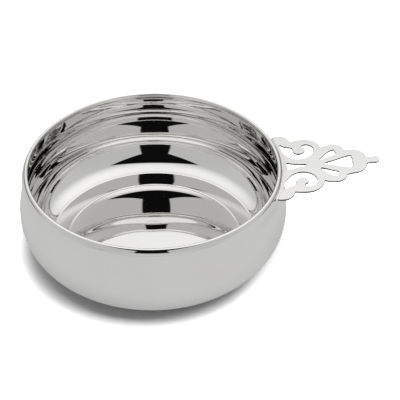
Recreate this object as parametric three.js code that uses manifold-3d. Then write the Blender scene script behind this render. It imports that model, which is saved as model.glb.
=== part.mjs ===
// A small silver porringer: a shallow round bowl with a bellied side, a thick
// rounded lip and a domed floor, and one flat pierced handle soldered to the lip.
// All sizes are millimetres, with +Z up and the foot standing on z = 0.
import * as THREE from "three";
import { mergeVertices } from "three/addons/utils/BufferGeometryUtils.js";
import Module from "manifold-3d";

const wasm = await Module();
wasm.setup();

// Bowl sizes
const wall = 0.7; // thickness of the spun sheet
const footRadius = 38.6; // outer edge of the flat ring that the bowl stands on
const footWidth = 1.6; // width of that ring
const ringRadius = 38.2; // lowest line of the inside, above that ring
const ringHeight = 0.87;
const domeRise = 2.74; // how far the floor is pushed up in the middle
const creaseRadius = 44.95; // where the side starts to rise, inside
const creaseHeight = 2.48;
const bellyRadius = 57.15; // widest part of the side, outside
const bellyHeight = 21.3;
const neckRadius = 55.1; // narrowest part below the lip, outside
const neckHeight = 34.5;
const neckWall = 1.6; // the sheet is thicker there
const neckDrop = 0.9; // how far the narrowest part inside lies below

// Control points of the bowl's curves, measured from the ends of each curve
const domeCurve = { reach: 11.8, lift: 0.47, flat: 7.4 };
const sideCurve = { out: 3.43, up: 2.75, below: 12.6 };
const throatCurve = { above: 7.2, below: 2.8 };
const neckCurve = { above: 7.3, below: 4 };

// Lip sizes: the sheet flares a little from the neck to its thickened edge,
// and the rim wire is soldered on there
const edgeRise = 3.5; // from the neck up to the edge
const edgeFlare = 0.15; // from the neck out to the edge
const edgeThickness = 1.65;
const rimHeight = 3.55;
const rimReach = 0.25; // from the neck out to the widest part of the rim wire
const rimStep = 0.2; // height of the widest part above the edge
const crestInset = 2; // from the widest part in to the crest
const crestRadius = 0.85; // small rounding of the crest and the inner side
const shoulderRadius = 2.7; // larger rounding of the outer side
const crestAngle = 0.94; // where the one rounding passes into the other
const shoulderAngle = 0.33; // where the outer rounding ends
const rimBend = 0.7; // control points of the curves below the roundings

// Handle sizes
const handleThickness = 1;
const handleDrop = 1.15; // how far its top face lies below the crest where it meets the rim
const handleSlope = 0.0989; // rise for each millimetre outward
const solderWidth = 0.3; // solder between the rim wire and the handle at the closest
const solderStep = 0.25; // how far the solder shows above and below the plate

// Round lobes of the handle's edge: centre along the handle from the inner
// edge, centre across it, and radius
const bigLobe = { along: 8.65, across: 10.75, radius: 7.4 };
const midLobe = { along: 20.95, across: 8.2, radius: 4.75 };
const endLobe = { along: 28.65, across: 2.3, radius: 5.8 };
const lobeEnd = 0.1; // angle at which each lobe stops, and its curve's fullness
const ear = { along: 1.55, across: 20.8, reach: 1.7, valley: 17.3 };
const earCurve = { out: 1.3, up: 1, back: 1.45, over: 1.4, forward: 1.1, down: 1 };
const tip = { along: 39.95, halfWidth: 2.4, neckAlong: 36.55, neckHalfWidth: 2.05 };
const tipCurve = { out: 0.2, down: 0.8, before: 1, after: 1.1, fullness: 0.1 };

// Openings of the handle
const scroll = { along: 6.7, across: 10.65, outer: 6.1, eye: 2.75 };
const innerStrip = 0.55; // metal left between the scroll and the bowl
const rootSlot = { along: 1.05, length: 8.1, wide: 2.4, narrow: 0.5 };
const sideSlot = { along: 14.9, across: 3.2, length: 7, rise: 5.6, width: 2.6 };
const endSlot = { along: 17.05, length: 11.5, wide: 3.9, narrow: 0.7, scallop: 0.35 };

// Fineness of the facets: turns are split so that a joint edge falls on a split
const turnSteps = 80;
const jointSteps = 5; // splits on each side of the handle's middle line
const curveSteps = 5;

// Sizes that follow from the ones above
const splitAngle = (2 * Math.PI) / turnSteps;
const jointAngle = jointSteps * splitAngle;
const innerBellyRadius = bellyRadius - wall;
const domeTop = ringHeight + domeRise;
const throatRadius = neckRadius - neckWall; // narrowest part inside
const throatHeight = neckHeight - neckDrop;
const lipSeam = neckHeight + edgeRise;
const lipHeight = lipSeam + rimHeight;
const edgeOuterRadius = neckRadius + edgeFlare;
const edgeInnerRadius = edgeOuterRadius - edgeThickness;
const lipRadius = neckRadius + rimReach;
const crestCentre = new THREE.Vector2(lipRadius - crestInset, lipHeight - crestRadius);
const lipInnerRadius = crestCentre.x - crestRadius;
const jointRadius = lipRadius + solderWidth; // curved inner edge of the handle
const handleTop = lipHeight - handleDrop;

// Turns a closed half-section of [radius, height] points about the Z axis.
function turned(section) {
  const points = section.map((p) => new THREE.Vector2(p.x, p.y));
  const geometry = new THREE.LatheGeometry(points, turnSteps);
  geometry.rotateX(Math.PI / 2);
  return geometry;
}

// Points of a path, with each curve of it split into the same number of steps.
function pointsOf(path) {
  return path.getPoints(curveSteps);
}

// The path moved sideways by a distance to its left, point by point.
function leftOf(path, distance) {
  const moved = [];
  for (const curve of path.curves) {
    for (let i = 0; i <= curveSteps; i += 1) {
      const t = i / curveSteps;
      const p = curve.getPoint(t);
      const along = curve.getTangent(t);
      moved.push(new THREE.Vector2(p.x - along.y * distance, p.y + along.x * distance));
    }
  }
  return moved;
}

// Inside of the bowl's side, from the crease up to the widest part.
function sidePath() {
  const c = sideCurve;
  const path = new THREE.Path();
  path.moveTo(creaseRadius, creaseHeight);
  path.bezierCurveTo(
    creaseRadius + c.out, creaseHeight + c.up,
    innerBellyRadius, bellyHeight - c.below,
    innerBellyRadius, bellyHeight,
  );
  return path;
}

// A curve from the widest part, upright there, in to a narrower upright end.
function drawnIn(startRadius, endRadius, endHeight, c) {
  const path = new THREE.Path();
  path.moveTo(startRadius, bellyHeight);
  path.bezierCurveTo(
    startRadius, bellyHeight + c.above,
    endRadius, endHeight - c.below,
    endRadius, endHeight,
  );
  return path;
}

// A shallow dome from its edge to the middle, as [radius, height] points.
function domePoints(edgeRadius, edgeHeight, topHeight) {
  const c = domeCurve;
  const path = new THREE.Path();
  path.moveTo(edgeRadius, edgeHeight);
  path.bezierCurveTo(
    edgeRadius - c.reach, edgeHeight + c.lift,
    c.flat, topHeight,
    0, topHeight,
  );
  return path.getPoints(2 * curveSteps);
}

// Bowl: one sheet, spun into floor, belly and neck, with a thickened top edge
function bowlGeometry() {
  const side = sidePath();
  const throat = drawnIn(innerBellyRadius, throatRadius, throatHeight, throatCurve);
  const neck = drawnIn(bellyRadius, neckRadius, neckHeight, neckCurve);
  const under = domePoints(footRadius - footWidth, 0, domeTop - wall).reverse();
  const foot = new THREE.Vector2(footRadius, 0);
  const outside = [...leftOf(side, -wall), ...pointsOf(neck).slice(1)];
  const edge = [
    new THREE.Vector2(edgeOuterRadius, lipSeam),
    new THREE.Vector2(edgeInnerRadius, lipSeam),
  ];
  const inside = [...pointsOf(side), ...pointsOf(throat).slice(1)].reverse();
  const floor = domePoints(ringRadius, ringHeight, domeTop);
  return turned([...under, foot, ...outside, ...edge, ...inside, ...floor]);
}

// Outside of the rim wire from the seam up to the crest.
function lipOuterPath() {
  const offset = shoulderRadius - crestRadius;
  const shoulder = new THREE.Vector2(
    crestCentre.x - offset * Math.cos(crestAngle),
    crestCentre.y - offset * Math.sin(crestAngle),
  );
  const low = new THREE.Vector2(
    shoulder.x + shoulderRadius * Math.cos(shoulderAngle),
    shoulder.y + shoulderRadius * Math.sin(shoulderAngle),
  );
  const path = new THREE.Path();
  path.moveTo(edgeOuterRadius, lipSeam);
  path.lineTo(lipRadius, lipSeam + rimStep);
  path.bezierCurveTo(
    lipRadius, lipSeam + rimStep + rimBend,
    low.x + rimBend * Math.sin(shoulderAngle), low.y - rimBend * Math.cos(shoulderAngle),
    low.x, low.y,
  );
  path.absarc(shoulder.x, shoulder.y, shoulderRadius, shoulderAngle, crestAngle, false);
  path.absarc(crestCentre.x, crestCentre.y, crestRadius, crestAngle, Math.PI / 2, false);
  return path;
}

// Rim wire: a ring of rounded section along the top edge of the bowl
function rimGeometry() {
  const inner = new THREE.Path();
  inner.moveTo(crestCentre.x, lipHeight);
  inner.absarc(crestCentre.x, crestCentre.y, crestRadius, Math.PI / 2, Math.PI, false);
  inner.bezierCurveTo(
    lipInnerRadius, crestCentre.y - rimBend,
    edgeInnerRadius, lipSeam + rimBend,
    edgeInnerRadius, lipSeam,
  );
  const section = [...pointsOf(lipOuterPath()), ...pointsOf(inner).slice(1)];
  section.push(section[0].clone());
  return turned(section);
}

// A closed geometry as a solid for cutting.
function solidOf(geometry) {
  geometry.deleteAttribute("normal");
  geometry.deleteAttribute("uv");
  const merged = mergeVertices(geometry, 1e-4);
  return new wasm.Manifold(new wasm.Mesh({
    numProp: 3,
    vertProperties: merged.attributes.position.array,
    triVerts: Uint32Array.from(merged.index.array),
  }));
}

// A cut solid back as a geometry.
function geometryOf(solid) {
  const mesh = solid.getMesh();
  const geometry = new THREE.BufferGeometry();
  geometry.setAttribute("position", new THREE.BufferAttribute(mesh.vertProperties, 3));
  geometry.setIndex(new THREE.BufferAttribute(mesh.triVerts, 1));
  geometry.computeVertexNormals();
  return geometry;
}

// Solder: fills the space between the rim wire and the handle's inner edge
function solderGeometry() {
  const bottom = handleTop - handleThickness - solderStep;
  const top = handleTop + solderStep;
  const whole = pointsOf(lipOuterPath());
  const from = whole.findLastIndex((p) => p.y <= bottom);
  const to = whole.findIndex((p) => p.y >= top);
  const lip = whole.slice(from, to + 1);
  const first = lip[0];
  const last = lip[lip.length - 1];
  const section = [
    new THREE.Vector2(jointRadius, first.y),
    new THREE.Vector2(jointRadius, last.y),
    ...lip.reverse(),
  ];
  section.push(section[0].clone());
  const ring = solidOf(turned(section));
  const reach = 2 * jointRadius;
  const wedge = new THREE.Shape([
    new THREE.Vector2(0, 0),
    new THREE.Vector2(reach * Math.cos(jointAngle), -reach * Math.sin(jointAngle)),
    new THREE.Vector2(reach * Math.cos(jointAngle), reach * Math.sin(jointAngle)),
  ]);
  const block = new THREE.ExtrudeGeometry(wedge, { depth: lipHeight + reach, bevelEnabled: false });
  return geometryOf(ring.intersect(solidOf(block)));
}

// A point of the handle's plan, measured from the middle of its inner edge.
function plan(along, across) {
  return [jointRadius + along, across];
}

// Edge of the handle on one side of its middle line, from the bowl to the tip.
function edgePath() {
  const path = new THREE.Path();
  const start = [jointRadius * Math.cos(jointAngle), jointRadius * Math.sin(jointAngle)];
  const valley = plan(ear.along + ear.reach, ear.valley);
  path.moveTo(...start);
  path.bezierCurveTo(
    start[0] + earCurve.out, start[1] + earCurve.up,
    ...plan(ear.along - earCurve.back, ear.across + earCurve.over),
    ...plan(ear.along, ear.across),
  );
  path.bezierCurveTo(
    ...plan(ear.along + earCurve.forward, ear.across - earCurve.down),
    valley[0], valley[1] + earCurve.over,
    ...valley,
  );
  for (const lobe of [bigLobe, midLobe, endLobe]) {
    const last = path.currentPoint;
    const [x, y] = plan(lobe.along, lobe.across);
    const crest = y + lobe.radius;
    path.bezierCurveTo(
      (2 * last.x + x) / 3, (last.y + crest) / 2 + lobeEnd,
      (last.x + 2 * x) / 3, crest,
      x, crest,
    );
    path.absarc(x, y, lobe.radius, Math.PI / 2, lobeEnd, true);
  }
  const neck = plan(tip.neckAlong, tip.neckHalfWidth);
  const end = path.currentPoint;
  path.bezierCurveTo(
    end.x + tipCurve.out, end.y - tipCurve.down,
    neck[0] - tipCurve.before, neck[1],
    ...neck,
  );
  path.bezierCurveTo(
    neck[0] + tipCurve.after, tip.halfWidth + tipCurve.fullness,
    ...plan(tip.along, tip.halfWidth),
    ...plan(tip.along, 0),
  );
  return path;
}

// Scroll opening: a curled channel round an eye, with a leaf-shaped tail.
function scrollPath() {
  const [x, y] = plan(scroll.along, scroll.across);
  const outer = scroll.outer;
  const eye = scroll.eye;
  const strip = jointRadius + innerStrip;
  const tailTip = y + 0.77 * outer;
  const tail = [Math.sqrt(strip * strip - tailTip * tailTip) + 0.5, tailTip];
  const rootAngle = Math.PI * 1.14;
  const path = new THREE.Path();
  path.moveTo(...tail);
  path.bezierCurveTo(tail[0] + 0.8, tail[1] - 1, tail[0] + 1.9, y + eye, x - eye - 0.7, y + 0.8 * eye);
  path.bezierCurveTo(x - eye - 0.2, y + 0.75 * eye, x - eye, y + 0.5 * eye, x - eye, y);
  path.absarc(x, y, eye, Math.PI, Math.PI / 6, false);
  path.bezierCurveTo(x + 0.65 * eye, y + 0.7 * eye, x + 0.4 * eye, y + 0.6 * eye, x + 0.4 * eye, y + 0.85 * eye);
  path.bezierCurveTo(x + 0.5 * eye, y + 1.2 * eye, x + 0.9 * eye, y + 1.3 * eye, x + 1.25 * eye, y + 1.25 * eye);
  path.bezierCurveTo(x + 0.8 * outer, y + 0.5 * outer, x + outer, y + 0.3 * outer, x + outer, y);
  path.absarc(x, y, outer, 0, -Math.PI + (rootAngle - Math.PI), true);
  const root = path.currentPoint;
  const side = (height) => Math.sqrt(strip * strip - height * height);
  path.bezierCurveTo(root.x - 0.3, root.y + 0.5, side(root.y + 1.2), root.y + 1.2, side(y), y);
  path.bezierCurveTo(side(y + 1.5), y + 1.5, side(tailTip - 1.5), tailTip - 1.5, ...tail);
  return path;
}

// Slot at the root of the handle: narrows away from the bowl.
function rootSlotPoints() {
  const path = new THREE.Path();
  const s = rootSlot;
  const end = s.along + s.length;
  path.moveTo(...plan(s.along, s.wide));
  path.bezierCurveTo(
    ...plan(s.along + s.length / 3, s.wide / 2),
    ...plan(s.along + (2 * s.length) / 3, s.narrow),
    ...plan(end - s.narrow, s.narrow),
  );
  path.absarc(...plan(end - s.narrow, 0), s.narrow, Math.PI / 2, -Math.PI / 2, true);
  path.bezierCurveTo(
    ...plan(s.along + (2 * s.length) / 3, -s.narrow),
    ...plan(s.along + s.length / 3, -s.wide / 2),
    ...plan(s.along, -s.wide),
  );
  return pointsOf(path);
}

// Slanting slot beside the middle line.
function sideSlotPath() {
  const s = sideSlot;
  const path = new THREE.Path();
  path.moveTo(...plan(s.along, s.across));
  path.bezierCurveTo(
    ...plan(s.along + s.length * 0.35, s.across + s.rise * 0.45),
    ...plan(s.along + s.length * 0.6, s.across + s.rise),
    ...plan(s.along + s.length * 0.9, s.across + s.rise),
  );
  path.lineTo(...plan(s.along + s.length * 1.05, s.across + s.rise - s.width));
  path.lineTo(...plan(s.along + s.length * 0.08, s.across - s.width * 0.15));
  return path;
}

// Wide slot near the end of the handle, with a scalloped outer side.
function endSlotPoints() {
  const s = endSlot;
  const far = s.along + s.length;
  const path = new THREE.Path();
  path.moveTo(...plan(s.along + s.narrow, s.narrow));
  path.bezierCurveTo(
    ...plan(s.along + s.length * 0.45, s.wide * 0.45),
    ...plan(s.along + s.length * 0.7, s.wide),
    ...plan(far - s.scallop, s.wide),
  );
  const half = s.wide / 2;
  path.quadraticCurveTo(...plan(far - 2 * s.scallop, half * 1.5), ...plan(far, half * 0.8));
  path.quadraticCurveTo(...plan(far - 2 * s.scallop, 0), ...plan(far, -half * 0.8));
  path.quadraticCurveTo(...plan(far - 2 * s.scallop, -half * 1.5), ...plan(far - s.scallop, -s.wide));
  path.bezierCurveTo(
    ...plan(s.along + s.length * 0.7, -s.wide),
    ...plan(s.along + s.length * 0.45, -s.wide * 0.45),
    ...plan(s.along + s.narrow, -s.narrow),
  );
  path.absarc(...plan(s.along + s.narrow, 0), s.narrow, -Math.PI / 2, Math.PI / 2, true);
  return pointsOf(path);
}

// The same points on the other side of the middle line, in the other order.
function mirrored(points) {
  return points.map((p) => new THREE.Vector2(p.x, -p.y)).reverse();
}

// A closed run of points without its doubled ones.
function loop(points) {
  return points.filter((p, i) => p.distanceTo(points[(i + 1) % points.length]) > 1e-3);
}

// Handle: a flat pierced plate that rises a little towards its tip
function handleGeometry() {
  const upper = pointsOf(edgePath());
  const joint = [];
  for (let i = -jointSteps; i < jointSteps; i += 1) {
    const angle = i * splitAngle;
    joint.push(new THREE.Vector2(jointRadius * Math.cos(angle), jointRadius * Math.sin(angle)));
  }
  const outline = new THREE.Shape(loop([...joint.reverse(), ...mirrored(upper).reverse(), ...upper.reverse()]));
  const scrollPoints = pointsOf(scrollPath());
  const slotPoints = pointsOf(sideSlotPath());
  const holes = [
    scrollPoints, mirrored(scrollPoints),
    slotPoints, mirrored(slotPoints),
    rootSlotPoints(), endSlotPoints(),
  ];
  outline.holes = holes.map((points) => new THREE.Path(loop(points)));
  const geometry = new THREE.ExtrudeGeometry(outline, { depth: handleThickness, bevelEnabled: false });
  const position = geometry.attributes.position;
  for (let i = 0; i < position.count; i += 1) {
    const rise = (position.getX(i) - jointRadius) * handleSlope;
    position.setZ(i, position.getZ(i) + handleTop - handleThickness + rise);
  }
  geometry.computeVertexNormals();
  return geometry;
}

// Materials
function polishedSilver() {
  return new THREE.MeshStandardMaterial({ color: 0xdcdcda, roughness: 0.08, metalness: 1 });
}

function silverSolder() {
  return new THREE.MeshStandardMaterial({ color: 0xc8c8c4, roughness: 0.25, metalness: 1 });
}

// The porringer, placed so that the middle of its length is above the origin
const porringer = new THREE.Group();
const reach = jointRadius + tip.along;
porringer.position.x = (bellyRadius - reach) / 2;

function addPiece(name, geometry, material) {
  const mesh = new THREE.Mesh(geometry, material);
  mesh.name = name;
  porringer.add(mesh);
}

addPiece("bowl_shell", bowlGeometry(), polishedSilver());
addPiece("rim_wire", rimGeometry(), polishedSilver());
addPiece("handle", handleGeometry(), polishedSilver());
addPiece("handle_solder", solderGeometry(), silverSolder());

const group = new THREE.Group();
group.add(porringer);
export default group;
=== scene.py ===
# %% [markdown]
# # A small silver porringer
# A porringer is a low round bowl with a bellied side and one flat pierced
# handle. This lesson makes one in polished silver: a bowl turned from a
# half-section, a rim wire along its top edge, a flat sawn handle, and the
# solder that joins them. The solid model is loaded first, as a frame
# that gives the main sizes and places.

# %% Load the frame
import bpy
import numpy as np
from mathutils import Matrix, Vector
from mathutils.geometry import tessellate_polygon


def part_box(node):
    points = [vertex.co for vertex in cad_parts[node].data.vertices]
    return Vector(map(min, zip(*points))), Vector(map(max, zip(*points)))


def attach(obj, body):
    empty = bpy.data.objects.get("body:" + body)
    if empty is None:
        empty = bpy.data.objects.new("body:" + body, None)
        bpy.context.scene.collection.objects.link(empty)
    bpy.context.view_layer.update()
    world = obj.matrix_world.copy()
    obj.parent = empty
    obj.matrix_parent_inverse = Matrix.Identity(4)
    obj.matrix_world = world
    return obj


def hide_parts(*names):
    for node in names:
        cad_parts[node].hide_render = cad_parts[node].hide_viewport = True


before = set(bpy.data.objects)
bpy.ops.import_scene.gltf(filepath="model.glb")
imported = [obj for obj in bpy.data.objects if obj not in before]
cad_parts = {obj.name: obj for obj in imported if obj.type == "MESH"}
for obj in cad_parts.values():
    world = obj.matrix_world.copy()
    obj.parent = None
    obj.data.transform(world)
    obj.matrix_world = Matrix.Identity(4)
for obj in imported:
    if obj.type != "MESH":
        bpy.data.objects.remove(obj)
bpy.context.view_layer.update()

# %% [markdown]
# Silver is a mirror, so the bowl is only ever as good as its section. All
# sizes are in millimetres. The outer ones are read from the frame, and the
# bowl's axis stands a little to the left of the middle of the whole length,
# because the handle counts as length too.

# %% Sizes
MM = 0.001


def corners(node):
    """Lowest and highest corner of a frame node, in millimetres."""
    return [np.round(np.array(corner) / MM, 3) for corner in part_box(node)]


bowl_low, bowl_high = corners("bowl_shell")
rim_high = corners("rim_wire")[1]
AXIS_X = (bowl_low[0] + bowl_high[0]) / 2
BELLY_R, BELLY_Z = bowl_high[1], 21.3       # widest place
SEAM_Z, LIP_Z = bowl_high[2], rim_high[2]   # where the rim wire starts, and its crest
WALL = 0.7                                  # thickness of the spun sheet
FOOT_R, FOOT_W = 38.6, 1.6                  # flat ring that it stands on
RING_R, RING_Z = 38.2, 0.87                 # lowest line of the inside, above that ring
DOME_RISE = 2.74
CREASE_R, CREASE_Z = 44.95, 2.48            # where the side starts to rise
THROAT_R, THROAT_Z = 53.5, 33.6             # narrowest place inside
NECK_R, NECK_Z = 55.1, 34.5                 # and outside
EDGE_OUT, EDGE_IN = 55.25, 53.6             # the sheet's thick top edge
LIP_R, CREST_R = rim_high[1], 53.35         # widest place of the rim wire, and its crest
JOINT_R = LIP_R + 0.3                       # curved inner edge of the handle
HANDLE_TOP, HANDLE_T, SLOPE = LIP_Z - 1.15, 1.0, 0.0989
COLUMNS = 240                               # splits of a full turn
print("bowl:", 2 * BELLY_R, "mm across,", LIP_Z, "mm high, axis at", AXIS_X)

# %% [markdown]
# The view comes next, because a mirror shows what stands round the camera.
# The lens looks down at about 39 degrees, square to the handle.

# %% Camera
TURN, DIP, ROLL = np.radians([1.3, 39.1, 0.25])
AIM_ALONG, AIM_Z = 19.94, 22.98     # the middle of the picture, from the bowl's axis
CAMERA_AWAY = 0.6                   # metres
FOCAL, PICTURE, SENSOR = 1397, 400, 36      # pixels, pixels, millimetres
back = np.array([-np.cos(DIP) * np.sin(TURN), -np.cos(DIP) * np.cos(TURN), np.sin(DIP)])
level = np.array([np.cos(TURN), -np.sin(TURN), 0.0])
upward = np.cross(back, level)
right = level * np.cos(ROLL) + upward * np.sin(ROLL)
above = upward * np.cos(ROLL) - level * np.sin(ROLL)
aim = (np.array([AXIS_X, 0, AIM_Z]) + AIM_ALONG * level) * MM
camera = bpy.data.objects.new("camera", bpy.data.cameras.new("camera"))
bpy.context.collection.objects.link(camera)
camera.data.lens = FOCAL / PICTURE * SENSOR
camera.data.clip_start, camera.data.clip_end = 0.05, 10
stand = np.eye(4)
stand[:3, :3] = np.array([right, above, back]).T
stand[:3, 3] = aim + back * CAMERA_AWAY
camera.matrix_world = Matrix(stand.tolist())
bpy.context.scene.camera = camera
bpy.context.scene.view_settings.view_transform = "Standard"
print("camera at", tuple(round(v, 3) for v in camera.location))

# %% [markdown]
# A few helpers make every mesh. A surface is a grid of points: its faces join
# neighbouring rows and columns, and a closed direction joins its last row to
# its first.

# %% Mesh helpers
def add_mesh(name, points, faces, smooth=40):
    """Puts points (mm) and faces into a new object, with edges sharper than
    the smooth angle (degrees) left sharp."""
    mesh = bpy.data.meshes.new(name)
    mesh.from_pydata((np.asarray(points) * MM).tolist(), [], faces)
    mesh.validate()
    mesh.shade_smooth()
    mesh.set_sharp_from_angle(angle=np.radians(smooth))
    obj = bpy.data.objects.new(name, mesh)
    bpy.context.collection.objects.link(obj)
    print(name, len(mesh.vertices), "points,", len(mesh.polygons), "faces")
    return obj


def grid_faces(rows, columns, close_rows=False, close_columns=False):
    """Faces of a grid whose point (i, j) has the number i * columns + j; each
    face joins (i, j), (i, j + 1), (i + 1, j + 1) and (i + 1, j)."""
    i = np.arange(rows if close_rows else rows - 1)
    j = np.arange(columns if close_columns else columns - 1)
    i, j = (a.ravel() for a in np.meshgrid(i, j, indexing="ij"))
    i2, j2 = (i + 1) % rows, (j + 1) % columns
    return np.stack([i * columns + j, i * columns + j2, i2 * columns + j2, i2 * columns + j], 1)


def turned(name, section, smooth=40):
    """A closed half-section (radius, height), run anticlockwise, turned about
    the bowl's axis: x = r cos a, y = r sin a. A point on the axis becomes one
    pole, where its ring of doubled points is merged."""
    a = 2 * np.pi * np.arange(COLUMNS) / COLUMNS
    r, z = section[:, :1], section[:, 1:]
    height = np.broadcast_to(z, (len(z), COLUMNS))
    grid = np.stack([AXIS_X + r * np.cos(a), r * np.sin(a), height], -1)
    poles = np.flatnonzero(section[:, 0] < 1e-9)
    number = np.arange(len(section) * COLUMNS).reshape(-1, COLUMNS)
    for pole in poles:
        number[pole] = number[pole, 0]
    faces = grid_faces(len(section), COLUMNS, not len(poles), True)
    faces = number.ravel()[faces].tolist()
    faces = [list(dict.fromkeys(f)) for f in faces]
    used, flat = np.unique(np.concatenate(faces).astype(int), return_inverse=True)
    sizes = np.cumsum([len(f) for f in faces])[:-1]
    faces = [f.tolist() for f in np.split(flat, sizes)]
    return add_mesh(name, grid.reshape(-1, 3)[used], faces, smooth)

# %% [markdown]
# Every outline is made of three kinds of curve: a free one with two control
# points, a simpler one with a single control point, and a part of a circle.

# %% Curves
def bezier(p, steps):
    """Points of a cubic curve: each is the mean of the four given points,
    weighted by the terms of ((1 - t) + t) cubed."""
    t = np.linspace(0, 1, steps + 1)[:, None]
    p = np.asarray(p, float)
    return (1 - t) ** 3 * p[0] + 3 * (1 - t) ** 2 * t * p[1] + 3 * (1 - t) * t * t * p[2] + t ** 3 * p[3]


def quadratic(p, steps=10):
    """Points of a curve with one control point, weighted by the terms of
    ((1 - t) + t) squared."""
    t = np.linspace(0, 1, steps + 1)[:, None]
    p = np.asarray(p, float)
    return (1 - t) ** 2 * p[0] + 2 * (1 - t) * t * p[1] + t * t * p[2]


def arc(centre, radius, start, end, steps=20):
    """Points of a circle: the centre plus the radius times (cos a, sin a)."""
    a = np.linspace(start, end, steps + 1)
    return np.asarray(centre) + radius * np.stack([np.cos(a), np.sin(a)], 1)

# %% [markdown]
# **The bowl** is one sheet of silver, spun or raised. From the middle out it
# has a floor pushed up into a shallow dome, a fine turned line, a ring that
# rises gently to a crease, and a side that swells into a belly and draws in
# to a neck. The inside is drawn first, because it shows most, and the outside
# of the side is the same curve moved out by the thickness of the sheet. The
# sheet is left thicker at the neck and along its top edge.

# %% Bowl curves
# Control points, measured from the ends of each curve
DOME_REACH, DOME_LIFT, DOME_FLAT = 11.8, 0.47, 7.4
SIDE_OUT, SIDE_UP, SIDE_BELOW = 3.43, 2.75, 12.6
THROAT_ABOVE, THROAT_BELOW = 7.2, 2.8
NECK_ABOVE, NECK_BELOW = 7.3, 4
FLARE_ABOVE, FLARE_BELOW, EDGE_BEND = 1.2, 1.5, 2
CREASE_EASE, RING_EASE = 0.3, 0.72      # how far each corner's rounding reaches
DOME_START = 0.9                        # from the ring in to the rest of the dome


def offset(curve, distance):
    """The curve moved to its left: each point goes along its normal, the
    tangent turned by a quarter turn."""
    along = np.gradient(curve, axis=0)
    along /= np.hypot(*along.T)[:, None]
    return curve + distance * np.stack([-along[:, 1], along[:, 0]], 1)


def dome(edge_r, edge_z, rise, steps):
    """A shallow dome from its edge to the axis: it leaves the edge at two
    degrees, steepens, and is level again at the top."""
    top = edge_z + rise
    return bezier([(edge_r, edge_z), (edge_r - DOME_REACH, edge_z + DOME_LIFT),
                   (DOME_FLAT, top), (0, top)], steps)


def drawn_in(start_r, end_r, end_z, above, below):
    """From the widest place, upright there, in to a narrower upright end."""
    return bezier([(start_r, BELLY_Z), (start_r, BELLY_Z + above), (end_r, end_z - below),
                   (end_r, end_z)], 40)


def toward(start, end, distance):
    """The point at this distance from the start, on the line to the end."""
    start, end = np.asarray(start, float), np.asarray(end, float)
    return start + (end - start) * distance / np.hypot(*(end - start))


def eased(before, corner, after, leg, steps):
    """A corner rounded by a curve that starts and ends one leg away from it."""
    return quadratic([toward(corner, before, leg), corner, toward(corner, after, leg)], steps)


def grooved(curve, radius, half, depth):
    """The curve lowered near one radius by depth (1 + cos(pi x)) / 2, with x
    the distance from that radius in parts of the half width."""
    x = np.clip((curve[:, 0] - radius) / half, -1, 1)
    return curve - np.stack([0 * x, depth * (1 + np.cos(np.pi * x)) / 2], 1)


# %% Bowl
ring, crease = (RING_R, RING_Z), (CREASE_R, CREASE_Z)
inner_belly = BELLY_R - WALL
side = bezier([crease, (CREASE_R + SIDE_OUT, CREASE_Z + SIDE_UP), (inner_belly, BELLY_Z - SIDE_BELOW),
               (inner_belly, BELLY_Z)], 90)
throat = drawn_in(inner_belly, THROAT_R, THROAT_Z, THROAT_ABOVE, THROAT_BELOW)
floor = dome(RING_R, RING_Z, DOME_RISE, 70)
inside = np.concatenate([
    throat[::-1], side[2:-1][::-1], eased(side[2], crease, ring, CREASE_EASE, 6),
    eased(crease, ring, floor[2], RING_EASE, 24), floor[floor[:, 0] < RING_R - DOME_START]])
inside = grooved(inside, RING_R, half=0.42, depth=0.15)
under = dome(FOOT_R - FOOT_W, 0, RING_Z + DOME_RISE - WALL, 24)[::-1]
neck = drawn_in(BELLY_R, NECK_R, NECK_Z, NECK_ABOVE, NECK_BELOW)
flare = bezier([(NECK_R, NECK_Z), (NECK_R, NECK_Z + FLARE_ABOVE), (EDGE_OUT, SEAM_Z - FLARE_BELOW),
                (EDGE_OUT, SEAM_Z)], 8)
inner_edge = bezier([(EDGE_IN, SEAM_Z), (EDGE_IN, SEAM_Z - EDGE_BEND), (THROAT_R, THROAT_Z + EDGE_BEND),
                     (THROAT_R, THROAT_Z)], 12)
outside = np.concatenate([under, [(FOOT_R, 0)], offset(side, -WALL), neck[1:], flare[1:]])
bowl = turned("bowl", np.concatenate([outside, inner_edge, inside[1:]]))
print("floor rises", DOME_RISE, "mm; foot ring", 2 * FOOT_R, "mm across")

# %% [markdown]
# **The rim wire** is a ring of rounded wire soldered along the top edge, where
# it stiffens the thin sheet. Its crest is a tight curve that gathers the whole
# of the light into one fine bright line, and its outer side is a broader one.

# %% Rim
CREST_BEND, SHOULDER_BEND = 0.85, 2.7       # radii of its two roundings
CREST_ANGLE, SHOULDER_ANGLE = 0.94, 0.33    # where the broad one starts and ends
RIM_STEP, RIM_BEND = 0.2, 0.7               # small step at the seam, bend above it
toward_crest = np.array([np.cos(CREST_ANGLE), np.sin(CREST_ANGLE)])
crest = np.array([CREST_R, LIP_Z - CREST_BEND])
shoulder = crest - (SHOULDER_BEND - CREST_BEND) * toward_crest
shoulder_arc = arc(shoulder, SHOULDER_BEND, SHOULDER_ANGLE, CREST_ANGLE, 18)
low = shoulder_arc[0]
below_low = low + RIM_BEND * np.array([np.sin(SHOULDER_ANGLE), -np.cos(SHOULDER_ANGLE)])
lip_out = np.concatenate([
    [(EDGE_OUT, SEAM_Z)],
    bezier([(LIP_R, SEAM_Z + RIM_STEP), (LIP_R, SEAM_Z + RIM_STEP + RIM_BEND), below_low, low], 10),
    shoulder_arc[1:]])
lip_in_r = CREST_R - CREST_BEND
lip_in = np.concatenate([
    arc(crest, CREST_BEND, CREST_ANGLE, np.pi, 30)[1:],
    bezier([(lip_in_r, crest[1]), (lip_in_r, crest[1] - RIM_BEND),
            (EDGE_IN, SEAM_Z + RIM_BEND), (EDGE_IN, SEAM_Z)], 12)[1:]])
rim = turned("rim", np.concatenate([lip_out, lip_in]), 60)
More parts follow.
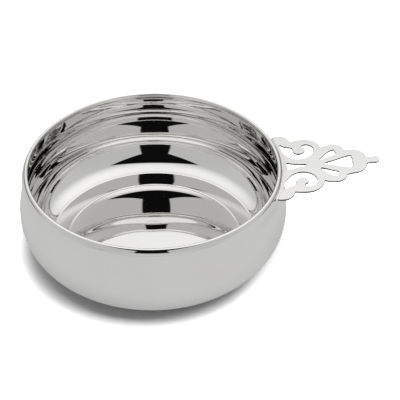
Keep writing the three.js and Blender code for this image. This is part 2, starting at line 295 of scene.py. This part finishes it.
print("crest at", crest[0], "mm from the axis, inner radius", lip_in_r)

# %% Stand for the frame's nodes
for piece, node in ((bowl, "bowl_shell"), (rim, "rim_wire")):
    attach(piece, "root")
    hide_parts(node)

# %% [markdown]
# **The handle** is a flat plate of sheet silver. A maker draws the outline on
# it, drills the openings, saws them out and files every edge a little round,
# so the plate is made the same way here: closed outlines, a rounded edge
# carried along each of them, and two flat faces between them. It rises a
# little towards its tip.

# %% Handle outline
JOINT_ANGLE = np.radians(22.5)              # half of the joint's arc
EAR, VALLEY = (1.55, 20.8), (3.25, 17.3)    # places along and across the handle
LOBES = ((8.65, 10.75, 7.4), (20.95, 8.2, 4.75), (28.65, 2.3, 5.8))     # and radius
LOBE_END = 0.1                              # angle at which each lobe stops
TIP_NECK, TIP_HALF, TIP_END = (36.55, 2.05), 2.4, 39.95
# Control points, measured from the end of the curve that they are nearest to
EAR_START, EAR_TOP, EAR_DOWN, VALLEY_TOP = (1.3, 1), (-1.45, 1.4), (1.1, -1), (-0.1, 1.4)
TIP_START, TIP_BEFORE, TIP_SWELL = (0.2, -0.8), (-1, 0), (1.1, 0.1)


def joined(runs):
    """Runs of points end to end, without the doubled ones, as a closed loop."""
    loop = np.concatenate(runs)
    return loop[np.hypot(*(loop - np.roll(loop, 1, 0)).T) > 1e-3]


def mirrored(points):
    """The points on the other side of the middle line, in the other order."""
    return (points * [1, -1])[::-1]


def at(along, across):
    """A point of the plan, measured from the middle of the inner edge."""
    return np.array([JOINT_R + along, across])


def edge():
    """The plate's edge from the bowl to the tip: a small ear, three lobes that
    are parts of circles joined by curves, a neck and a rounded tip."""
    start = JOINT_R * np.array([np.cos(JOINT_ANGLE), np.sin(JOINT_ANGLE)])
    ear, valley = at(*EAR), at(*VALLEY)
    runs = [bezier([start, start + EAR_START, ear + EAR_TOP, ear], 10),
            bezier([ear, ear + EAR_DOWN, valley + VALLEY_TOP, valley], 10)]
    for along, across, radius in LOBES:
        (x, y), last = at(along, across), runs[-1][-1]
        top = y + radius
        runs.append(bezier([last, ((2 * last[0] + x) / 3, (last[1] + top) / 2 + LOBE_END),
                            ((last[0] + 2 * x) / 3, top), (x, top)], 12))
        runs.append(arc((x, y), radius, np.pi / 2, LOBE_END))
    end, neck = runs[-1][-1], at(*TIP_NECK)
    swell = np.array([neck[0], TIP_HALF]) + TIP_SWELL
    runs.append(bezier([end, end + TIP_START, neck + TIP_BEFORE, neck], 12))
    runs.append(bezier([neck, swell, at(TIP_END, TIP_HALF), at(TIP_END, 0)], 12))
    return np.concatenate(runs)


upper = edge()
inner_arc = arc((0, 0), JOINT_R, JOINT_ANGLE, -JOINT_ANGLE, 40)
outline = joined([inner_arc, mirrored(upper)[::-1], upper[::-1]])
print("outline:", len(outline), "points, tip at", round(outline[:, 0].max(), 2))

# %% [markdown]
# The openings leave a traditional pattern of scrolls standing. Each scroll is
# a channel that curls round an eye and ends in a leaf beside the bowl, and a
# narrow strip of metal stays between the leaf and the rim to be soldered.

# %% Scroll openings
SCROLL, SCROLL_R, EYE = (6.7, 10.65), 6.1, 2.75     # middle, outer radius, eye's radius
STRIP_R = JOINT_R + 0.55                            # metal left beside the bowl
SCROLL_TAIL, SCROLL_TURN = 0.77, 0.14               # height of the tail, end of the turn


def beside_bowl(height):
    """The point of the strip's edge at this distance across the handle:
    x squared plus y squared is the strip's radius squared."""
    return np.array([np.sqrt(STRIP_R ** 2 - height ** 2), height])


def scroll():
    """A curled channel round an eye: parts of circles of the two radii, with a
    leaf-shaped tail that runs up beside the bowl. The curl between them has
    its control points in parts of the two radii."""
    centre = at(*SCROLL)
    y = centre[1]
    tail_y = y + SCROLL_TAIL * SCROLL_R
    tail = beside_bowl(tail_y) + [0.5, 0]
    turn = arc(centre, SCROLL_R, 0, -np.pi + SCROLL_TURN * np.pi)
    leaf = centre + [-EYE - 0.7, 0.8 * EYE]
    eye_side = centre - [EYE, 0]
    eye_arc = arc(centre, EYE, np.pi, 2 * np.pi + np.pi / 6)
    notch, point = centre + np.multiply(EYE, [(0.4, 0.85), (1.25, 1.25)])
    outer_side = centre + [SCROLL_R, 0]
    return joined([
        bezier([tail, tail + [0.8, -1], (tail[0] + 1.9, y + EYE), leaf], 12),
        bezier([leaf, centre + [-EYE - 0.2, 0.75 * EYE], eye_side + [0, 0.5 * EYE], eye_side], 8),
        eye_arc,
        bezier([eye_arc[-1], *(centre + np.multiply(EYE, [(0.65, 0.7), (0.4, 0.6)])), notch], 8),
        bezier([notch, *(centre + np.multiply(EYE, [(0.5, 1.2), (0.9, 1.3)])), point], 8),
        bezier([point, *(centre + np.multiply(SCROLL_R, [(0.8, 0.5), (1, 0.3)])), outer_side], 12),
        turn,
        bezier([turn[-1], turn[-1] + [-0.3, 0.5], beside_bowl(turn[-1][1] + 1.2), beside_bowl(y)], 8),
        bezier([beside_bowl(y), beside_bowl(y + 1.5), beside_bowl(tail_y - 1.5), tail], 10)])

# %% [markdown]
# Along the middle line there is a slot at the root and a wide one near the
# tip, with two slanting slots between them. They fan out like the ribs of a
# shell and make the plate lighter towards its end.

# %% Slots
ROOT_SLOT = {"along": 1.05, "end": 9.15, "wide": 2.4, "narrow": 0.5}
SIDE_SLOT = {"along": 14.9, "across": 3.2, "length": 7, "rise": 5.6, "width": 2.6}
END_SLOT = {"along": 17.05, "length": 11.5, "wide": 3.9, "narrow": 0.7, "scallop": 0.35}


def root_slot():
    """The slot at the root of the handle narrows away from the bowl."""
    start, wide, narrow = ROOT_SLOT["along"], ROOT_SLOT["wide"], ROOT_SLOT["narrow"]
    third = (ROOT_SLOT["end"] - start) / 3
    last = ROOT_SLOT["end"] - narrow
    half = bezier([at(start, wide), at(start + third, wide / 2), at(start + 2 * third, narrow),
                   at(last, narrow)], 12)
    return joined([half, arc(at(last, 0), narrow, np.pi / 2, -np.pi / 2, 10), mirrored(half)])


def side_slot():
    """A slanting slot beside the middle line; its curve has control points in
    parts of its length and rise."""
    start, across = SIDE_SLOT["along"], SIDE_SLOT["across"]
    length, rise, width = SIDE_SLOT["length"], SIDE_SLOT["rise"], SIDE_SLOT["width"]
    shares = ((0, 0), (0.35, 0.45), (0.6, 1), (0.9, 1))
    curve = bezier([at(start + a * length, across + b * rise) for a, b in shares], 14)
    far = at(start + 1.05 * length, across + rise - width)
    near = at(start + 0.08 * length, across - 0.15 * width)
    return joined([curve, far[None], near[None]])


def end_slot():
    """The wide slot near the tip has a scalloped outer side: two hollows with
    a point between them."""
    start, length = END_SLOT["along"], END_SLOT["length"]
    wide, narrow, scallop = END_SLOT["wide"], END_SLOT["narrow"], END_SLOT["scallop"]
    far = start + length
    half = bezier([at(start + narrow, narrow), at(start + 0.45 * length, 0.45 * wide),
                   at(start + 0.7 * length, wide), at(far - scallop, wide)], 12)
    point = 0.4 * wide
    corner = quadratic([at(far - scallop, wide), at(far - 2 * scallop, 0.75 * wide), at(far, point)])
    middle = quadratic([at(far, point), at(far - 2 * scallop, 0), at(far, -point)])
    start_arc = arc(at(start + narrow, 0), narrow, -np.pi / 2, -1.5 * np.pi, 10)
    return joined([half, corner, middle, mirrored(corner), mirrored(half), start_arc])


def area(loop):
    """Half the sum of the cross products of neighbouring points: positive for
    an anticlockwise loop."""
    x, y = loop.T
    return 0.5 * np.sum(x * np.roll(y, -1) - y * np.roll(x, -1))


openings = [scroll(), mirrored(scroll()), root_slot(), side_slot(), mirrored(side_slot()), end_slot()]
holes = [h if area(h) < 0 else h[::-1] for h in openings]
print("openings:", [round(-area(h), 1) for h in holes], "square millimetres")

# %% [markdown]
# Now the plate itself. The file takes off a little of every edge, inside the
# openings too, and that narrow rounding is what draws the pattern's outline in
# the finished silver.

# %% Handle plate
def edge_profile(inset, drop, steps):
    """A rounded edge as (inward, height): inward inset (1 - sin b) and height
    T - drop (1 - cos b), with b from 0 to 90 degrees at the top edge, and the
    same turned over below."""
    b = np.linspace(0, np.pi / 2, steps + 1)
    top = np.stack([inset * (1 - np.sin(b)), HANDLE_T - drop * (1 - np.cos(b))], 1)
    return np.concatenate([top, (top * [1, -1] + [0, HANDLE_T])[::-1]])


def flat_faces(points, ends, turn):
    """Triangles between the loops whose points have the numbers in ends. A
    triangle whose cross product has the wrong sign for this turn is turned
    round."""
    rings = [[Vector((*points[i, :2], 0)) for i in ring] for ring in ends]
    made = np.concatenate(ends)[np.array(tessellate_polygon(rings))]
    a, b, c = (points[made[:, k], :2] for k in range(3))
    ab, ac = b - a, c - a
    wrong = (ab[:, 0] * ac[:, 1] - ab[:, 1] * ac[:, 0] > 0) != (turn > 0)
    made[wrong] = made[wrong][:, ::-1]
    return made.tolist()


def plate(name, loops, profile):
    """Each loop carries the profile along it, moved inwards along the loop's
    normals. The faces between the loops are flat, and the plate is sheared: z
    rises by the slope times x."""
    points, sides, tops, bottoms, start = [], [], [], [], 0
    for loop in loops:
        along = np.roll(loop, -1, 0) - np.roll(loop, 1, 0)
        along /= np.hypot(*along.T)[:, None]
        inward = np.stack([-along[:, 1], along[:, 0]], 1)
        grid = loop[:, None] + inward[:, None] * profile[None, :, :1]
        height = np.broadcast_to(profile[:, 1], grid.shape[:2])
        points.append(np.dstack([grid, height]).reshape(-1, 3))
        sides.append(grid_faces(len(loop), len(profile), True)[:, ::-1] + start)
        first = start + len(profile) * np.arange(len(loop))
        tops.append(first)
        bottoms.append(first + len(profile) - 1)
        start += len(points[-1])
    points = np.concatenate(points)
    sides = np.concatenate(sides).tolist()
    flats = flat_faces(points, tops, 1) + flat_faces(points, bottoms, -1)
    points[:, 2] += HANDLE_TOP - HANDLE_T + (points[:, 0] - JOINT_R) * SLOPE
    points[:, 0] += AXIS_X
    obj = add_mesh(name, points, sides + flats, 60)
    smooth = np.arange(len(sides) + len(flats)) < len(sides)
    obj.data.polygons.foreach_set("use_smooth", smooth)
    return obj


handle = plate("handle_plate", [outline, *holes], edge_profile(inset=0.4, drop=0.47, steps=7))

# %% [markdown]
# **The solder** runs in between the rim wire and the plate when the joint is
# heated, and leaves a small hollow fillet above and below. It is filed clean,
# so it is only a little duller than the silver beside it.

# %% Solder
UPPER_FILLET = ((0.7, 0.015), (-0.3, 0.05), (-1.35, 0.5))   # from the joint and the top face
LOWER_FILLET = ((-0.6, -0.4), (-0.1, -0.06), (0.4, -0.02))  # from the bottom face
INSIDE_RIM = ((-1.6, 0.2), (-1.2, -HANDLE_T))


def fillet(name, rows, columns):
    """A closed section carried along the joint: above and below the plate it
    is a hollow curve from the plate to the wire, measured from the plate's
    own slanting face. Its size fades with the fourth root of 1 - a squared,
    with a the angle in parts of the joint's, so it closes to a point at both
    ends."""
    share = np.linspace(-1, 1, rows)
    a = JOINT_ANGLE * share
    fade = np.sqrt(np.sqrt(np.clip(1 - share ** 2, 0, 1)))
    upper, lower = quadratic(UPPER_FILLET, columns), quadratic(LOWER_FILLET, columns)
    loop = np.concatenate([lower - [0, HANDLE_T], upper, INSIDE_RIM]) + [JOINT_R, 0]
    middle = np.array([JOINT_R - 0.5, -HANDLE_T / 2])
    section = middle + (loop - middle) * fade[:, None, None]
    x, y = section[..., 0] * np.cos(a)[:, None], section[..., 0] * np.sin(a)[:, None]
    z = HANDLE_TOP + (x - JOINT_R) * SLOPE + section[..., 1]
    grid = np.stack([AXIS_X + x, y, z], -1).reshape(-1, 3)
    return add_mesh(name, grid, grid_faces(rows, len(loop), False, True).tolist(), 60)


solder = fillet("solder_joint", 61, 7)
for piece, node, slot in ((handle, "handle", "polished_silver"), (solder, "handle_solder", "silver_solder")):
    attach(piece, "root")
    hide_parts(node)

# %% [markdown]
# ** The finish.** Silver reflects nearly nine tenths of the light, a little
# less in the blue. Buffing leaves very fine circular marks and a surface that
# is never quite even. The handle's sawn edges can't be buffed as well, so they
# stay duller; they also get a painted shade, nearly black, that draws its pattern.

# %% Node helpers
class Nodes:
    """Makes nodes in a tree; a call gives back the new node, with its inputs
    set to numbers or joined to other nodes' outputs."""

    def __init__(self, tree):
        self.tree = tree
        tree.nodes.clear()

    def __call__(self, kind, inputs=(), **settings):
        node = self.tree.nodes.new("ShaderNode" + kind)
        for key, value in settings.items():
            setattr(node, key, value)
        for key, value in dict(inputs).items():
            if isinstance(value, bpy.types.NodeSocket):
                self.tree.links.new(value, node.inputs[key])
            else:
                node.inputs[key].default_value = value
        return node

    def math(self, operation, a, b=0.0):
        """One sum: ADD, SUBTRACT, MULTIPLY and so on, of two values."""
        return self("Math", {0: a, 1: b}, operation=operation).outputs[0]

    def ramp(self, value, low, high, to_low=0.0, to_high=1.0):
        """A soft step from to_low to to_high while the value goes from low to
        high."""
        return self("MapRange", {0: value, 1: low, 2: high, 3: to_low, 4: to_high},
                    interpolation_type="SMOOTHSTEP").outputs[0]

    def blend(self, first, second, share):
        """first + (second - first) share, for values that may be sockets."""
        difference = self.math("SUBTRACT", second, first)
        return self.math("ADD", first, self.math("MULTIPLY", difference, share))

    def cloudy(self, place, scale, **more):
        """Noise of this scale in the given place."""
        return self("TexNoise", {"Vector": place, "Scale": scale, **more}).outputs[0]

    def tone(self, share, first, second):
        """A colour between two, by a share."""
        return self("MixRGB", {0: share, 1: first, 2: second}).outputs[0]


def new_material(name):
    """An empty material, and the maker of its nodes."""
    material = bpy.data.materials.new(name)
    material.use_nodes = True
    return material, Nodes(material.node_tree)

# %% Polished silver
SILVER_DARK, SILVER_LIGHT = (0.89, 0.885, 0.875, 1), (0.915, 0.91, 0.905, 1)
# painted shade: the nearly black colour put on the handle's edge walls
SAWN_EDGE_SHADE = (0.13, 0.125, 0.12, 1)
SOLDER_DARK, SOLDER_LIGHT = (0.80, 0.795, 0.78, 1), (0.88, 0.875, 0.865, 1)
MARKS_ROUND, MARKS_ACROSS = 1.5, 900.0      # how fast the marks change, along and across
FILED_MARKS = (60, MARKS_ACROSS, MARKS_ACROSS)
CLOUD_SCALE, UNEVEN_SCALE = 45.0, 70.0      # tarnish clouds, and the sheet's slow waves


def place_round_axis(n):
    """Object coordinates, measured from the bowl's axis."""
    place = n("TexCoord").outputs["Object"]
    return n("Mapping", {"Vector": place, "Location": (-AXIS_X * MM, 0, 0)}).outputs[0]


def turned_marks(n, place):
    """Coordinates for circular marks: the cosine and sine of the angle, which
    have no seam as the angle itself would, and many times the radius plus the
    height."""
    x, y, height = n("SeparateXYZ", {0: place}).outputs
    radius = n.math("SQRT", n.math("ADD", n.math("MULTIPLY", x, x), n.math("MULTIPLY", y, y)))
    safe = n.math("MAXIMUM", radius, 1e-6)
    cosine, sine = n.math("DIVIDE", x, safe), n.math("DIVIDE", y, safe)
    return n("CombineXYZ", {0: n.math("MULTIPLY", cosine, MARKS_ROUND),
                            1: n.math("MULTIPLY", sine, MARKS_ROUND),
                            2: n.math("MULTIPLY", n.math("ADD", radius, height), MARKS_ACROSS)}).outputs[0]


def metal(n, tone, rough, height, depth):
    """A metal shader whose bump has this strength and a fiftieth of a
    millimetre of height."""
    bump = n("Bump", {"Strength": depth, "Distance": 0.02 * MM, "Height": height}).outputs[0]
    shader = n("BsdfPrincipled", {"Base Color": tone, "Metallic": 1.0, "Roughness": rough, "Normal": bump})
    n("OutputMaterial", {0: shader.outputs[0]})


def silver(name, is_turned=True):
    """Metal whose colour varies by a hundredth or two, with fine buffing marks
    in its roughness. A filed plate has straight marks, and its sawn edges,
    where the surface leaves the level, are duller and carry a painted shade
    that makes them nearly black."""
    material, n = new_material(name)
    place = place_round_axis(n)
    straight = n("Mapping", {"Vector": place, "Scale": FILED_MARKS}).outputs[0]
    fine = n.cloudy(turned_marks(n, place) if is_turned else straight, 1.0, Detail=3.0)
    cloud = n.cloudy(place, CLOUD_SCALE, Detail=4.0, Roughness=0.6)
    tone = n.tone(n.ramp(cloud, 0.3, 0.7), SILVER_DARK, SILVER_LIGHT)
    rough = n.math("ADD", n.ramp(fine, 0.35, 0.75, 0.012, 0.03), n.ramp(cloud, 0.45, 0.8, 0.0, 0.02))
    if not is_turned:
        level_part = n("SeparateXYZ", {0: n("TexCoord").outputs["Normal"]}).outputs[2]
        # painted shade: edge walls, where the surface leaves the level, are darkened towards nearly black
        sawn_edge_shade = n.ramp(n.math("ABSOLUTE", level_part), 0.3, 0.9, 0.9, 0.0)
        tone = n.tone(sawn_edge_shade, tone, SAWN_EDGE_SHADE)
        rough = n.math("ADD", rough, n.math("MULTIPLY", sawn_edge_shade, 0.25))
    metal(n, tone, rough, n.cloudy(place, UNEVEN_SCALE, Detail=1.0), 0.35)
    return material


def solder_metal():
    """Solder is a slightly greyer metal with small lumps in it."""
    material, n = new_material("silver_solder_metal")
    lumps = n.cloudy(place_round_axis(n), MARKS_ACROSS, Detail=3.0)
    tone = n.tone(n.ramp(lumps, 0.3, 0.7), SOLDER_DARK, SOLDER_LIGHT)
    metal(n, tone, n.ramp(lumps, 0.3, 0.7, 0.06, 0.12), lumps, 0.3)
    return material


bowl_silver = silver("turned_silver")
bowl.data.materials.append(bowl_silver)
rim.data.materials.append(bowl_silver)
handle.data.materials.append(silver("filed_silver_painted_edge_shade", False))
solder.data.materials.append(solder_metal())
print("materials:", [m.name for m in bpy.data.materials])

# %% [markdown]
# **The surroundings.** A silver bowl is photographed inside a tent of white
# cloth, and the camera looks in through a slit. Here the tent is a soft
# pattern of directions in the world's own colour: a bright cloth overhead that
# leans to the far side and fades into grey sides, a dark slit in front that
# widens towards its top, and a dark gap at the far horizon. The camera itself
# sees plain white.

# %% World
TOP, FAR, LOW_FAR, SIDE, FRONT, SWEEP, DARK = 1.01, 0.92, 0.84, 0.565, 0.518, 0.59, 0.004
CLOTH_TILT, CLOTH_WHITE, CLOTH_EDGE = np.radians([25.2, 39.6, 54.4])    # angles from its axis
SLIT_HALF, SLIT_BEND, SLIT_WIDENS = 0.24, 0.96, 0.82    # slopes seen from the bowl
SLIT_TOP, SLIT_FOOT, SLIT_SOFT = (2.26, 2.46), (0.05, 0.14), 0.02
FAR_STEP, FAR_TURN, SIDE_TURN = (0.6, 0.64), (0.3, 0.7), (-0.5, 0.0)    # where each fades
GAP_TURN, GAP_STEP, GAP_DEPTH = (0.0, 0.3), (0.14, 0.18), 0.8
world = bpy.data.worlds.new("light_tent")
bpy.context.scene.world = world
world.use_nodes = True
n = Nodes(world.node_tree)
direction = n("TexCoord").outputs["Generated"]


def along(vector):
    """How far the direction points along a fixed level or upright vector."""
    return n("VectorMath", {0: direction, 1: tuple(vector)}, operation="DOT_PRODUCT").outputs["Value"]


away_side = np.array([np.sin(TURN), np.cos(TURN), 0])
cloth_axis = np.sin(CLOTH_TILT) * away_side + [0, 0, np.cos(CLOTH_TILT)]
up, away = along((0, 0, 1)), along(away_side)
front = n.math("MAXIMUM", n.math("MULTIPLY", away, -1.0), 0.001)
steep = n.math("DIVIDE", up, front)
aside = n.math("ABSOLUTE", n.math("DIVIDE", along(level), front))
widening = n.math("MULTIPLY", n.math("MAXIMUM", n.math("SUBTRACT", steep, SLIT_BEND), 0.0), SLIT_WIDENS)
past_edge = n.math("SUBTRACT", aside, n.math("ADD", widening, SLIT_HALF))
slit = n.math("MULTIPLY", n.ramp(past_edge, -SLIT_SOFT, SLIT_SOFT, 1.0, 0.0),
              n.ramp(steep, *SLIT_TOP, 1.0, 0.0))
cloth = n.ramp(along(cloth_axis), float(np.cos(CLOTH_EDGE)), float(np.cos(CLOTH_WHITE)))
bright = n.blend(TOP, n.ramp(up, *FAR_STEP, LOW_FAR, FAR), n.ramp(away, *FAR_TURN))
tent = n.blend(n.ramp(away, *SIDE_TURN, FRONT, SIDE), bright, cloth)
tent = n.blend(tent, DARK, slit)
tent = n.blend(tent, SWEEP, n.ramp(steep, *SLIT_FOOT, 1.0, 0.0))
gap = n.math("MULTIPLY", n.ramp(away, *GAP_TURN), n.ramp(up, *GAP_STEP, GAP_DEPTH, 0.0))
tent = n.math("MULTIPLY", tent, n.math("SUBTRACT", 1.0, gap))
print("tent: cloth tilted", round(float(np.degrees(CLOTH_TILT)), 1), "degrees, white within",
      round(float(np.degrees(CLOTH_WHITE)), 1))

# %% [markdown]
# Light that has been scattered once, as on the floor, gets only a fifth of the
# tent, so that the lamp's shadow stays clear.

# %% World strength
path = n("LightPath").outputs
scattered = n.math("MINIMUM", path["Diffuse Depth"], 1.0)
strength = n.math("MAXIMUM", tent, path["Is Camera Ray"])
SCATTERED_SHARE = 0.2
strength = n.math("MULTIPLY", strength, n.blend(1.0, SCATTERED_SHARE, scattered))
background = n("Background", {"Color": (1, 1, 1, 1), "Strength": strength})
n("OutputWorld", {0: background.outputs[0]})

# %% [markdown]
# The floor is a plain pale sheet. The metal sees it as a light grey, and the
# camera sees it as white, so that only the bowl's soft shadow is left on it.
# One square lamp hangs above, a little to the right, and throws that shadow.

# %% Floor
FLOOR_HALF = 3.0                    # metres
FLOOR_SEEN, FLOOR_PLAIN, FLOOR_GLOW = 3.1, 0.2, 0.43
corner_signs = np.array([(-1, -1, 0), (1, -1, 0), (1, 1, 0), (-1, 1, 0)])
floor_mesh = bpy.data.meshes.new("floor")
floor_mesh.from_pydata((FLOOR_HALF * corner_signs).tolist(), [], [(0, 1, 2, 3)])
floor_sheet = bpy.data.objects.new("floor", floor_mesh)
bpy.context.collection.objects.link(floor_sheet)
material, n = new_material("pale_floor")
path = n("LightPath").outputs
mirrored_ray = n.math("MAXIMUM", path["Is Glossy Ray"], path["Is Transmission Ray"])
first_hit = n.math("SUBTRACT", 1.0, n.math("MINIMUM", path["Diffuse Depth"], 1.0))
glow = n.math("MULTIPLY", n.math("MULTIPLY", mirrored_ray, first_hit), FLOOR_GLOW)
sheet = n("BsdfDiffuse", {"Color": n.blend(FLOOR_PLAIN, FLOOR_SEEN, path["Is Camera Ray"])})
shine = n("Emission", {"Color": (1, 1, 1, 1), "Strength": glow})
n("OutputMaterial", {0: n("AddShader", {0: sheet.outputs[0], 1: shine.outputs[0]}).outputs[0]})
floor_mesh.materials.append(material)
print("floor:", 2 * FLOOR_HALF, "m across, glow in the metal", FLOOR_GLOW)

# %% Lamp
LAMP_SIZE, LAMP_POWER = 1, 10                   # metres, watts
LAMP_PLACE, LAMP_TILT = (0.22, -0.03, 1.0), (0.24, -0.03, 1.0)
lamp = bpy.data.objects.new("lamp", bpy.data.lights.new("lamp", "AREA"))
bpy.context.collection.objects.link(lamp)
lamp.data.size, lamp.data.energy = LAMP_SIZE, LAMP_POWER
lamp.location = LAMP_PLACE
lamp.rotation_euler = Vector(LAMP_TILT).to_track_quat("Z", "Y").to_euler()
lamp.visible_glossy = False
print("lamp:", LAMP_POWER, "watts, hidden from the metal")
